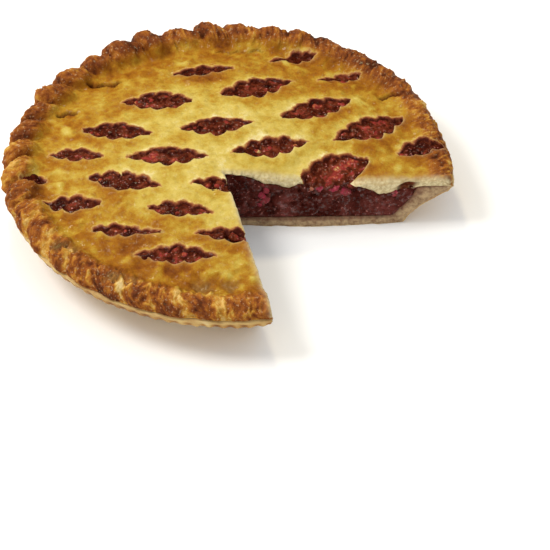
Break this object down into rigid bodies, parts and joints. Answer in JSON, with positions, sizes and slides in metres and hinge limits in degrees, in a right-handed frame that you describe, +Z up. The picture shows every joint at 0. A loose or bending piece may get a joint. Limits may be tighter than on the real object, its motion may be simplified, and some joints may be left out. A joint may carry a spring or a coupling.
{
  "type": "cherry pie",
  "caption": "Round double-crust cherry pie with a roped rim and waved slits in its lid, one wedge cut out so that the dark filling shows.",
  "frame": {"origin": "centre of the round base, on the surface that the pie stands on", "axes": "+Z up; the missing wedge opens towards +X and -Y, from 75 degrees below +X to 3 degrees above it"},
  "size_m": [0.2457, 0.2456, 0.039],
  "materials": {
    "crust_top": "baked golden pastry with an egg-wash gloss, browner towards the rim",
    "crust_bottom": "dry pale tan pastry",
    "cherry_filling": "wet dark burgundy gel with cherries"
  },
  "bodies": {
    "root": {"bottom_crust": "crust_bottom", "filling": "cherry_filling", "top_crust": "crust_top"}
  },
  "joints": []
}
